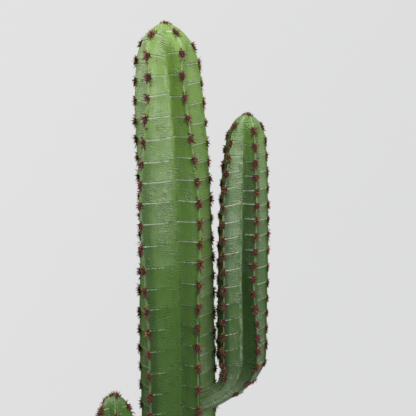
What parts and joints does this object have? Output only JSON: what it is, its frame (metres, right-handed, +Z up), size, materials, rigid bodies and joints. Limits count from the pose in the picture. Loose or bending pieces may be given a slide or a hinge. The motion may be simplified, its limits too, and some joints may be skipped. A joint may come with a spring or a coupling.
{
  "type": "potted artificial cactus",
  "caption": "Tall ribbed artificial column cactus with upturned side arms and red-brown spine tufts, standing in a plain round pot.",
  "frame": {"origin": "centre of the pot's flat underside", "axes": "+Z up along the stem, +X to the right and -Y towards the viewer when the cactus is seen from its front"},
  "size_m": [0.2876, 0.196, 1.0832],
  "materials": {
    "skin": "satin",
    "spines": "matte",
    "pot": "matte",
    "filling": "matte"
  },
  "bodies": {
    "root": {"pot": "pot", "filling": "filling", "main_stem": "skin", "right_arm": "skin", "right_elbow": "skin", "left_arm": "skin", "left_elbow": "skin"}
  },
  "joints": []
}
